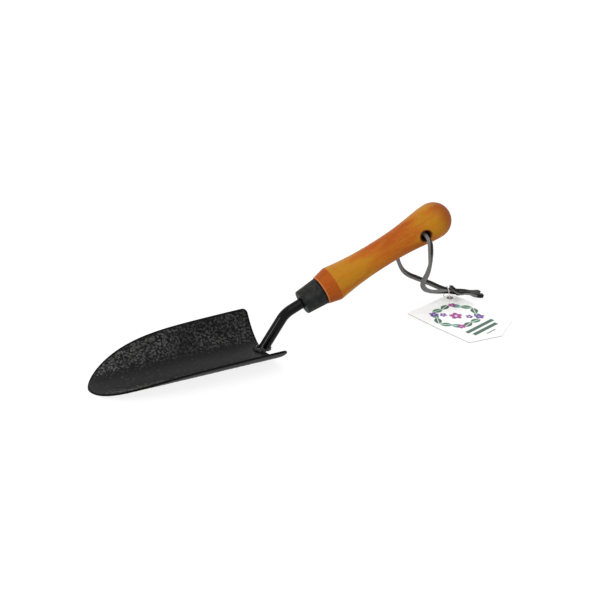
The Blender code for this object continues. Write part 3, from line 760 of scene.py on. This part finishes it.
def make_lace(name, route, faces, materials, replaced, knot):
    """One half of the leather lace, with its grain face turned as listed."""
    places, centres, length = evenly(curve_through(route), LACE_STEP)
    tangents = np.gradient(centres, axis=0)
    tangents /= np.linalg.norm(tangents, axis=1)[:, None]
    grain = grain_directions(places, tangents, faces)
    across = np.cross(grain, tangents)

    rng = np.random.default_rng(len(route))
    wobble = np.convolve(rng.normal(0, 1, len(places) + 10), np.ones(11) / 11, "valid") * LACE_UNEVEN
    drawn_in = ease((places - knot[0]) / SWELLS_OVER) * ease((knot[1] - places) / SWELLS_OVER)
    squeeze = 1 - (1 - TIGHT_IN_KNOT) * drawn_in
    squeeze *= TIGHT_IN_HOLE + (1 - TIGHT_IN_HOLE) * ease((places - HOLE_ENDS_AT) / SWELLS_OVER)
    section = lace_section()
    count = len(section)
    points = [centre + b * u * scale * (1 + extra) + n * v * scale
              for centre, n, b, scale, extra in zip(centres, grain, across, squeeze, wobble)
              for u, v in section]
    mesh = new_mesh(points, tube_faces(len(centres), count), 50)
    obj = piece(name, mesh, materials, replaced)

    skin = np.array([tuple(v.co) for v in mesh.vertices])
    for polygon in mesh.polygons:
        ring = [index // count for index in polygon.vertices]
        i = min(ring)
        polygon.material_index = 1
        if max(ring) - i > 1 or len(ring) > 4:
            continue
        middle = (centres[i] + centres[min(i + 1, len(centres) - 1)]) / 2
        out = skin[list(polygon.vertices)].mean(axis=0) - middle
        least = GRAIN_FROM if places[i] < knot[1] else DYED_FROM
        if out @ grain[i] / LACE_THICKNESS > least * squeeze[i]:
            polygon.material_index = 0
    return obj, centres, length


def make_loop():
    """The thin clear loop through the tag's hole."""
    centres = evenly(curve_through(LOOP_ROUTE, closed=True), LOOP_STEP)[1][:-1]
    tangents = np.roll(centres, -1, axis=0) - np.roll(centres, 1, axis=0)
    tangents /= np.linalg.norm(tangents, axis=1)[:, None]
    normal = Vector((0.3, 0.2, 0.9))
    points = []
    for centre, tangent in zip(centres, tangents):
        t = Vector(tangent)
        normal = (normal - t * normal.dot(t)).normalized()
        side = t.cross(normal)
        if not points:
            first = normal, side
        points += circle(Vector(centre), normal, side, LOOP_GAUGE / 2, LOOP_SIDES)
    twist = atan2(normal.dot(first[1]), normal.dot(first[0]))
    shift = round(twist / (tau / LOOP_SIDES)) % LOOP_SIDES
    mesh = new_mesh(points, ring_faces(len(centres), LOOP_SIDES, shift))
    return piece("loop_of_nylon", mesh, [clear_nylon()], "tag_loop")


# Scoop, neck and weld

def blade_half_width(distance):
    """Half width of the scoop at a distance from its heel."""
    t = distance / BLADE_LENGTH
    half = BLADE_WIDTH / 2 * (1 - TIP_TAPER * t) * max(0, 1 - t ** TIP_FULLNESS) ** TIP_POWER
    if distance < HEEL_ROUND:
        left = HEEL_ROUND - distance
        half -= HEEL_ROUND - sqrt(HEEL_ROUND ** 2 - left ** 2)
    return half


def scoop_rows():
    """Distances of the scoop's rows from its heel, closer at the corners and the tip."""
    corner = [HEEL_ROUND * (1 - cos(turn)) for turn in quarter(HEEL_CORNER_ROWS)[:-1]]
    tip_start = TIP_ROWS_FROM * BLADE_LENGTH
    reach = tip_start - HEEL_ROUND
    count = round(reach / SCOOP_STEP)
    body = [HEEL_ROUND + reach * i / count for i in range(count)]
    first = asin((tip_start / BLADE_LENGTH) ** (TIP_FULLNESS / 2))
    tip_count = round((BLADE_LENGTH - tip_start) / SCOOP_STEP)
    turns = [first + (pi / 2 - first) * i / tip_count for i in range(tip_count)]
    return corner + body + [BLADE_LENGTH * sin(turn) ** (2 / TIP_FULLNESS) for turn in turns]


def domes(u, v, seed):
    """Height from 0 to 1 of a hammered coat's domes at places on a flat map."""
    cells = (DOME_CELLS, DOME_CELLS)
    rng = np.random.default_rng(seed)
    shift = rng.uniform(-0.42, 0.42, cells + (2,))
    height = 0.25 + 0.75 * rng.uniform(0, 1, cells) ** 1.3
    reach = rng.uniform(0.62, 0.86, cells)
    gu, gv = u / DOME_SPACING, v / DOME_SPACING
    iu, iv = np.floor(gu).astype(int), np.floor(gv).astype(int)
    best = np.zeros_like(gu)
    for du in (-1, 0, 1):
        for dv in (-1, 0, 1):
            a, b = (iu + du) % DOME_CELLS, (iv + dv) % DOME_CELLS
            distance = np.hypot(gu - (iu + du + 0.5 + shift[a, b, 0]),
                                gv - (iv + dv + 0.5 + shift[a, b, 1]))
            best = np.maximum(best, height[a, b] * (1 - (distance / reach[a, b]) ** 2))
    return best


def scoop_row(distance):
    """A row across the scoop: inner and outer points, normals, dome heights, and how clear it is of
    the rim's painted shade.
    """
    w = np.linspace(-1, 1, SCOOP_COLUMNS)
    half = blade_half_width(distance)
    keel = min(KEEL_WIDTH / 2, half / 2)
    arc = keel + BLADE_ARC * asin((half - keel) / BLADE_ARC)
    run = np.abs(w) * arc
    turn = np.clip((run - keel) / BLADE_ARC, 0, None)
    y = np.sign(w) * np.where(run < keel, run, keel + BLADE_ARC * np.sin(turn))
    z = BLADE_THICKNESS + BLADE_ARC * (1 - np.cos(turn))
    out = np.clip(np.abs(y) - KEEL_WIDTH / 2, 0, None) * 2 / (BLADE_WIDTH - KEEL_WIDTH)
    fade = max(0, 1 - distance / HEEL_SWEEP_REACH) ** 2
    top = np.stack([HEEL_X - distance + HEEL_SWEEP * out * fade, y, z], axis=1)
    normal = np.stack([np.zeros(len(w)), -np.sign(w) * np.sin(turn), np.cos(turn)], axis=1)

    edge = np.minimum(np.minimum(distance, BLADE_LENGTH - distance), arc - run)
    rise = ease(edge / DOME_FADE)
    along, across = np.full(len(w), distance), np.sign(w) * run
    worn = WORN_LEFT + (1 - WORN_LEFT) * ease((run - WORN_WIDTH) / WORN_FADE)
    height = rise * worn * domes(along, across, 5)
    under = rise * domes(along, across, 11) * ease((run - KEEL_BARE) / KEEL_BARE_FADE)
    inner = top + normal * (DOME_HEIGHT * height)[:, None]
    outer = top - normal * (BLADE_THICKNESS + DOME_HEIGHT * under)[:, None]
    # The last value fades in the rim's painted shade.
    return inner, outer, normal, height, ease((edge - RIM_SHADE) / RIM_SHADE_FADE)


def make_scoop():
    """The scoop as one closed sheet with a rounded rim, hammered on both faces."""
    rows = [scoop_row(distance) for distance in scoop_rows()]
    inner, outer, normals, heights, out_of_rim_shade_all = (np.concatenate(part) for part in zip(*rows))
    count = len(inner)
    points = list(inner) + list(outer)
    faces = sheet_faces(len(rows), SCOOP_COLUMNS)

    loop = border(len(rows), SCOOP_COLUMNS)
    rim_top = inner[loop]
    middle = (rim_top + outer[loop]) / 2
    ahead = np.roll(rim_top, -1, axis=0) - np.roll(rim_top, 1, axis=0)
    outward = np.cross(ahead, normals[loop])
    outward /= np.linalg.norm(outward, axis=1)[:, None]
    if outward[SCOOP_COLUMNS // 2, 0] < 0:
        outward = -outward
    rings = [loop]
    for step in range(1, RIM_STEPS):
        turn = pi * step / RIM_STEPS
        rings.append(list(range(len(points), len(points) + len(loop))))
        ring = middle + (rim_top - middle) * cos(turn) + outward * RIM_BULGE * sin(turn)
        points += list(ring)
    rings.append([count + index for index in loop])
    for low, high in zip(rings, rings[1:]):
        faces += strip(low, high)
    mesh = new_mesh(points, faces, 75)

    # Red: dome heights, which the coat turns into painted glints. Green: 1 clear of the rim's painted
    # shade, 0 on the rim.
    colours = np.zeros((len(mesh.vertices), 4))
    colours[:count, 0] = heights
    colours[:2 * count, 1] = np.concatenate([out_of_rim_shade_all, out_of_rim_shade_all])
    domes_and_rim_shade = mesh.color_attributes.new("domes_and_rim_shade", "FLOAT_COLOR", "POINT")
    domes_and_rim_shade.data.foreach_set("color", colours.ravel())
    return piece("scoop", mesh, [hammered_coat()], "blade")


def neck_line():
    """Points and directions on the neck's middle, from its foot into the ferrule."""
    foot = Vector((HEEL_X + FOOT_OVERHANG, 0, BLADE_THICKNESS))
    up = Vector((cos(NECK_PITCH), 0, sin(NECK_PITCH)))
    out = Vector((cos(HANDLE_PITCH), 0, sin(HANDLE_PITCH)))
    corner = foot + up * NECK_RISE
    turn = NECK_PITCH - HANDLE_PITCH
    cut_back = NECK_BEND_RADIUS * tan(turn / 2)
    start = corner - up * cut_back
    finish = corner + out * cut_back
    centre = start + Vector((up.z, 0, -up.x)) * NECK_BEND_RADIUS
    straight = NECK_RISE - cut_back
    rest = NECK_RUN - cut_back + TANG_SHOWN
    low, bend, top = NECK_STEPS
    line = [(foot + up * (straight * k / low), up) for k in range(low)]
    for k in range(bend):
        spin = Matrix.Rotation(turn * k / bend, 3, "Y")
        line.append((centre + spin @ (start - centre), spin @ up))
    return line + [(finish + out * (rest * k / top), out) for k in range(top + 1)]


def make_neck():
    """The bent rod, its foot cut level just above the scoop."""
    side = Vector((0, 1, 0))
    level = BLADE_THICKNESS + FOOT_GAP
    points = []
    for centre, direction in neck_line():
        ring = circle(centre, direction.cross(side), side, NECK_DIAMETER / 2, NECK_SIDES)
        if not points:
            ring = [point + direction * ((level - point.z) / direction.z) for point in ring]
        elif min(point.z for point in ring) <= BLADE_THICKNESS + FOOT_CLEAR:
            continue
        points += ring
    mesh = new_mesh(points, tube_faces(len(points) // NECK_SIDES, NECK_SIDES))
    return piece("rod_neck", mesh, [gloss_coat()], "neck")


def make_weld():
    """The lumpy weld round the foot of the neck, fuller on the scoop's side."""
    phases = np.random.default_rng(21).uniform(0, tau, 8)
    spread = NECK_DIAMETER / 2 + BEAD_SPREAD
    points = []
    for i in range(BEAD_STEPS):
        angle = tau * i / BEAD_STEPS
        outward = Vector((cos(angle), sin(angle), 0))
        lump = sum(sin(n * angle + phases[n % 8]) * size for n, size in BEAD_LUMPS)
        fuller = 1 - 0.25 * cos(angle) - 0.2 * sin(angle)
        radius = BEAD_RADIUS * (1 + lump) * fuller
        along = HEEL_X + FOOT_OVERHANG + spread / sin(NECK_PITCH) * cos(angle)
        centre = Vector((along, spread * sin(angle), BLADE_THICKNESS + FOOT_CLEAR))
        for k in range(BEAD_SIDES):
            turn = tau * k / BEAD_SIDES
            bump = 1 + 0.1 * sin(3 * turn + 5 * angle + phases[3]) + 0.07 * sin(2 * turn - 9 * angle)
            rise = sin(turn)
            height = radius * bump * (rise if rise > 0 else rise * BEAD_UNDERSIDE)
            points.append(centre + outward * radius * bump * cos(turn) + Vector((0, 0, height)))
    mesh = new_mesh(points, ring_faces(BEAD_STEPS, BEAD_SIDES), 60)
    return piece("weld", mesh, [weld_coat()], "weld_bead")


# Ferrule and handle

def handle_place():
    """Where the ferrule and the handle are: their own Z runs along the handle."""
    return Matrix.Translation(FERRULE_FRONT) @ Matrix.Rotation(pi / 2 - HANDLE_PITCH, 4, "Y")


def ferrule_radius(distance):
    """Outer radius of the ferrule at a distance from its front."""
    t = distance / FERRULE_LENGTH
    return (FERRULE_FRONT_DIAMETER + (FERRULE_REAR_DIAMETER - FERRULE_FRONT_DIAMETER) * t) / 2


def make_ferrule():
    """The tapered cap with a rounded front edge and a softly broken rear edge."""
    bore = NECK_DIAMETER / 2 + BORE_GAP
    edge = FERRULE_EDGE_ROUND
    outline = [(bore, 0.0004), (bore + 0.0003, 0)]
    outline += [(ferrule_radius(edge) - edge + edge * sin(turn), edge * (1 - cos(turn)))
                for turn in quarter(8)]
    for i in range(1, 12):
        distance = edge + (FERRULE_LENGTH - 0.0003 - edge) * i / 11
        outline.append((ferrule_radius(distance), distance))
    rear = ferrule_radius(FERRULE_LENGTH)
    outline += [(rear - 0.0002, FERRULE_LENGTH), (rear - FERRULE_WALL, FERRULE_LENGTH),
                (ferrule_radius(FERRULE_WALL) - FERRULE_WALL, FERRULE_WALL), (bore, FERRULE_WALL)]
    mesh = turned(outline, FERRULE_SIDES)
    return piece("ferrule_cap", mesh, [ferrule_coat()], "ferrule", place=handle_place())


def handle_radius(distance):
    """Outer radius of the wood at a distance from the ferrule's front, up to the bulb."""
    if distance <= SHOULDER_AT:
        t = (distance - WOOD_FRONT) / CHAMFER_LENGTH
        return (HANDLE_FRONT_DIAMETER + (SHOULDER_DIAMETER - HANDLE_FRONT_DIAMETER) * t) / 2
    if distance <= WAIST_AT:
        t = (distance - SHOULDER_AT) / SHOULDER_TO_WAIST
        return (WAIST_DIAMETER + (SHOULDER_DIAMETER - WAIST_DIAMETER) * (1 - t) ** 2) / 2
    t = (distance - WAIST_AT) / WAIST_TO_BULB
    return (WAIST_DIAMETER + (BULB_DIAMETER - WAIST_DIAMETER) * float(ease(t ** BULB_SWELL))) / 2


def wood_profile(start, length, steps):
    """Outline points on the wood at even steps after a start."""
    stations = [start + length * i / steps for i in range(1, steps + 1)]
    return [(handle_radius(station), station) for station in stations]


def hole_tool():
    """The cross hole's shape with its flaring mouths, round Z."""
    radius = HOLE_DIAMETER / 2
    skin = handle_radius(HOLE_AT)
    reach = skin + HOLE_DIAMETER
    side = [(radius, 0)]
    side += [(radius + MOUTH_ROUND * (1 - cos(turn)),
              skin - MOUTH_ROUND * (1 - sin(turn))) for turn in quarter(10)]
    side += [(radius + MOUTH_ROUND, reach), (0, reach)]
    return turned(side + [(r, -z) for r, z in reversed(side) if z > 0], HOLE_SIDES)


def make_handle():
    """The turned wooden handle with its cross hole."""
    front, shoulder, bulb = HANDLE_FRONT_DIAMETER / 2, SHOULDER_DIAMETER / 2, BULB_DIAMETER / 2
    tenon = ferrule_radius(WOOD_FRONT) - FERRULE_WALL - TENON_GAP
    outline = [(0, TENON_FRONT), (tenon - TENON_TAPER, TENON_FRONT), (tenon, WOOD_FRONT),
               (front - 0.0004, WOOD_FRONT), (front - 0.0001, WOOD_FRONT + 0.0001),
               (front + 0.0001, WOOD_FRONT + 0.0005)]
    outline += wood_profile(WOOD_FRONT, CHAMFER_LENGTH, 8)[:-1]
    outline += [(handle_radius(SHOULDER_AT - 0.0006), SHOULDER_AT - 0.0006),
                (shoulder - 0.00012, SHOULDER_AT - 0.0002), (shoulder - 0.0001, SHOULDER_AT + 0.0003)]
    outline += wood_profile(SHOULDER_AT, SHOULDER_TO_WAIST, 40)
    outline += wood_profile(WAIST_AT, WAIST_TO_BULB, 56)
    outline += [(bulb * cos(turn), BULB_AT + bulb * sin(turn)) for turn in quarter(24)[1:-1]]
    outline.append((0, BULB_AT + bulb))
    place = Matrix.Translation((0, 0, HOLE_AT)) @ Matrix.Rotation(pi / 2, 4, "X")
    mesh = without(turned(outline, HANDLE_SIDES), hole_tool(), place)
    mesh.set_sharp_from_angle(angle=radians(30))
    return piece("handle_wood", mesh, [varnished_wood()], "handle", place=handle_place())


# Tag

GREEN = rgb(22, 118, 74)
TEAL = rgb(36, 146, 120)
DEEP_GREEN = rgb(14, 84, 54)
VIOLET = rgb(106, 42, 148)
MAGENTA = rgb(160, 34, 136)
# Painted shade: round the punched hole, on its wall and on the card's cut edges.
HOLE_SHADE_RING = rgb(46, 33, 31)
HOLE_WALL_SHADE = rgb(48, 36, 34)
CARD_EDGE_SHADE = rgb(206, 206, 210)

# Each flower's ink, middle along and across, radius and turn
BLOSSOMS = (
    (VIOLET, 12, -37, 4.6, 0.2), (MAGENTA, 43, -36, 4.2, 0.9), (VIOLET, 42, -9, 4.8, 1.4),
    (MAGENTA, 11, -10, 4, 0.5), (MAGENTA, 27, -24, 6.2, 0), (VIOLET, 18, -31, 3.6, 0.7),
    (VIOLET, 36, -16, 3.6, 0.3))
# Each bar's middle along, two ends across and thickness
BARS = ((54, -42, -5, 4), (60.5, -40, -8, 4), (67, -30, -18, 1.2))


def tag_outline():
    """The tag's outline with rounded corners, along and across from its hole."""
    end = -TAG_HOLE_FROM_END
    shoulder = end + TAG_SIDE_LENGTH
    far = TAG_HOLE_FROM_SIDE
    near = far - TAG_WIDTH
    point = (shoulder + TAG_POINT_LENGTH, (near + far) / 2)
    sharp = ((end, far), (shoulder, far), point, (shoulder, near), (end, near))
    corners = [Vector(corner) for corner in sharp]
    outline = []
    for i, corner in enumerate(corners):
        back = (corners[i - 1] - corner).normalized() * TAG_CORNER_RADIUS
        ahead = (corners[(i + 1) % len(corners)] - corner).normalized() * TAG_CORNER_RADIUS
        for k in range(CORNER_STEPS + 1):
            t = k / CORNER_STEPS
            outline.append(corner + back * (1 - t) ** 2 + ahead * t ** 2)
    return outline


def inked(inside):
    """How much ink lies a length inside a mark's edge, from 0 to 1."""
    return np.clip(0.5 + inside / INK_EDGE, 0, 1)


def leaf(along, across, a, c, heading, length, width):
    """A pointed leaf with a bare midrib."""
    u = (along - a) * cos(heading) + (across - c) * sin(heading)
    v = np.abs(-(along - a) * sin(heading) + (across - c) * cos(heading))
    inside = np.where(np.abs(u) < length / 2, width / 2 * (1 - (2 * u / length) ** 2) - v, -1)
    return inked(inside) * inked(v - 0.04 * width)


def blossom(along, across, a, c, radius, turn):
    """A round flower with five petals and a bare middle."""
    distance = np.hypot(along - a, across - c)
    angle = np.arctan2(across - c, along - a) + turn
    edge = radius * (0.62 + 0.38 * np.abs(np.cos(2.5 * angle)))
    return inked(edge - distance) * inked(distance - 0.2 * radius)


def bar(along, across, a, low, high, thick):
    """A plain bar across the tag."""
    ends = np.minimum(across - low, high - across)
    return inked(np.minimum(thick / 2 - np.abs(along - a), ends))


def print_colours(along, across):
    """The tag's print: a ring of leaves and flowers, and plain bars."""
    marks = []
    for k in range(LEAVES):
        angle = tau * (k + 0.5) / LEAVES
        u, v = WREATH_REACH[0] * cos(angle), WREATH_REACH[1] * sin(angle)
        heading = atan2(WREATH_REACH[1] * cos(angle), -WREATH_REACH[0] * sin(angle))
        heading += LEAF_LEAN if k % 2 else -LEAF_LEAN
        cover = leaf(along, across, WREATH_CENTRE[0] + u, WREATH_CENTRE[1] + v, heading, *LEAF_SIZE)
        marks.append((cover, (GREEN, TEAL, DEEP_GREEN)[k % 3]))
    marks += [(blossom(along, across, *shape), ink) for ink, *shape in BLOSSOMS]
    marks += [(bar(along, across, *shape), DEEP_GREEN) for shape in BARS]
    colours = np.ones((len(along), 4))
    for cover, ink in marks:
        colours += cover[:, None] * (np.array(ink) - colours)
    return colours


def colour_card(mesh):
    """Give the card its print, painted shade in a ring round its hole and on the hole's wall, and
    painted shade on its cut edges.
    """
    places = np.array([tuple(v.co) for v in mesh.vertices])
    colours = print_colours(places[:, 0] * 1000, places[:, 1] * 1000)
    # A dark ring round the hole: painted shade for what is seen through it.
    ring = np.hypot(places[:, 0], places[:, 1]) < PUNCH_SHOWN / 2 + PUNCH_RING
    colours[ring] = HOLE_SHADE_RING
    shown = colours[[corner.vertex_index for corner in mesh.loops]]
    for polygon in mesh.polygons:
        # The hole's wall and the card's cut edges get painted shade.
        if abs(polygon.normal.z) < 0.5:
            in_hole = ring[list(polygon.vertices)].all()
            shown[list(polygon.loop_indices)] = HOLE_WALL_SHADE if in_hole else CARD_EDGE_SHADE
    ink = mesh.color_attributes.new("print", "FLOAT_COLOR", "CORNER")
    ink.data.foreach_set("color", shown.ravel())


def make_tag():
    """The card with rounded corners, a curled corner and a punched hole."""
    outline = tag_outline()
    tip = 2 * (CORNER_STEPS + 1) + CORNER_STEPS // 2
    far, near = outline[:tip + 1], outline[:tip - 1:-1]
    start, stop = -TAG_HOLE_FROM_END, outline[tip].x
    rows = round((stop - start) / TAG_STEP)
    columns = round(TAG_WIDTH / TAG_STEP)
    along = np.linspace(start + MERGE_DISTANCE, stop - 0.00002, rows)
    far_edge = np.interp(along, [p.x for p in far], [p.y for p in far])
    near_edge = np.interp(along, [p.x for p in near], [p.y for p in near])
    across = near_edge[:, None] + (far_edge - near_edge)[:, None] * np.linspace(0, 1, columns)
    spread = np.repeat(along[:, None], columns, axis=1)
    curl = TAG_CURL * ease((-across - CURL_ACROSS_FROM) / CURL_ACROSS_OVER) ** 1.5
    curl *= ease((CURL_ALONG_TO - spread) / CURL_ALONG_OVER)
    low = np.stack([spread, across, curl], axis=2).reshape(-1, 3)
    high = low + np.array([0, 0, TAG_THICKNESS])
    loop = border(rows, columns)
    faces = sheet_faces(rows, columns) + strip(loop, [index + len(low) for index in loop])
    card = new_mesh(list(low) + list(high), faces, 35)
    radius, depth = PUNCH_SHOWN / 2, PUNCH_DEPTH
    punch = turned([(0, -depth), (radius, -depth), (radius, depth), (0, depth)], PUNCH_SIDES)
    mesh = without(card, punch)
    colour_card(mesh)
    place = (Matrix.Translation(TAG_PIVOT) @ Matrix.Rotation(TAG_HEADING, 4, "Z")
             @ Matrix.Rotation(TAG_TILT, 4, "Y"))
    return piece("swing_tag", mesh, [printed_card()], "tag", body="tag", place=place)


# Surroundings

def make_floor():
    """A plain white floor that keeps the trowel's shadow."""
    mesh = bpy.data.meshes.new("floor")
    r = FLOOR_REACH
    mesh.from_pydata([(-r, -r, 0), (r, -r, 0), (r, r, 0), (-r, r, 0)], [], [(0, 1, 2, 3)])
    made = bpy.data.materials.new("white_floor")
    made.use_nodes = True
    tree = made.node_tree
    tree.nodes.clear()
    path = add(tree, "LightPath").outputs
    seen = maths("MAXIMUM", path["Is Camera Ray"], path["Is Glossy Ray"])
    shade = maths("ADD", times(seen, FLOOR_SHADE_SEEN - FLOOR_SHADE), FLOOR_SHADE)
    diffuse = add(tree, "BsdfDiffuse", {"Color": shade})
    glow = add(tree, "Emission", {"Color": (1, 1, 1, 1), "Strength": times(seen, FLOOR_GLOW)})
    both = add(tree, "AddShader", {0: diffuse.outputs[0], 1: glow.outputs[0]})
    add(tree, "OutputMaterial", {"Surface": both.outputs[0]})
    mesh.materials.append(made)
    floor = put("floor", mesh)
    floor.location.z = min(0, CAD_BOX[0].z)


def make_world():
    """White to the camera, in reflections and through clear things, softer as a light."""
    world = bpy.data.worlds.new("studio")
    bpy.context.scene.world = world
    world.use_nodes = True
    tree = world.node_tree
    path = add(tree, "LightPath").outputs
    direct = maths("MAXIMUM", path["Is Camera Ray"], path["Is Transmission Ray"])
    direct = maths("MAXIMUM", direct, path["Is Glossy Ray"])
    soft = times(path["Is Diffuse Ray"], WORLD_SOFT)
    strength = maths("ADD", times(direct, 1 - WORLD_LEAST), maths("ADD", soft, WORLD_LEAST))
    background = tree.nodes["Background"]
    background.inputs["Color"].default_value = (1, 1, 1, 1)
    feed(strength, background.inputs["Strength"])


def make_lamp(name, place, target, size, power):
    """A square soft light that looks at a place."""
    data = bpy.data.lights.new(name, "AREA")
    data.shape = "SQUARE"
    data.size = size
    data.energy = power
    lamp = put(name, data)
    lamp.location = place
    lamp.rotation_euler = (Vector(target) - Vector(place)).to_track_quat("-Z", "Y").to_euler()


def make_lamps():
    """Soft studio light: a large lamp above, a small one at the left and one behind."""
    make_lamp("overhead", (0.05, -0.42, 1.05), (-0.05, 0, 0.03), 0.9, 3.4)
    make_lamp("left_strip", (-1.05, -0.2, 0.57), (0, 0, 0.03), 0.25, 2.1)
    make_lamp("back_fill", (0.6, 1.3, 0.75), (-0.05, 0, 0.03), 0.6, 3)


def main():
    """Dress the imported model."""
    make_camera()
    lace_faces = [leather_grain(), leather_cut()]
    front, front_line, front_length = make_lace("lace_front", FRONT_ROUTE, FRONT_FACES, lace_faces,
                                                "hang_cord_front", FRONT_KNOT)
    back, back_line, back_length = make_lace("lace_back", BACK_ROUTE, BACK_FACES, lace_faces,
                                             "hang_cord_back", BACK_KNOT)
    loop = make_loop()
    make_tag()
    make_scoop()
    make_neck()
    make_weld()
    make_ferrule()
    make_handle()
    make_floor()
    make_world()
    make_lamps()
    bpy.context.scene.view_settings.view_transform = "Standard"


main()
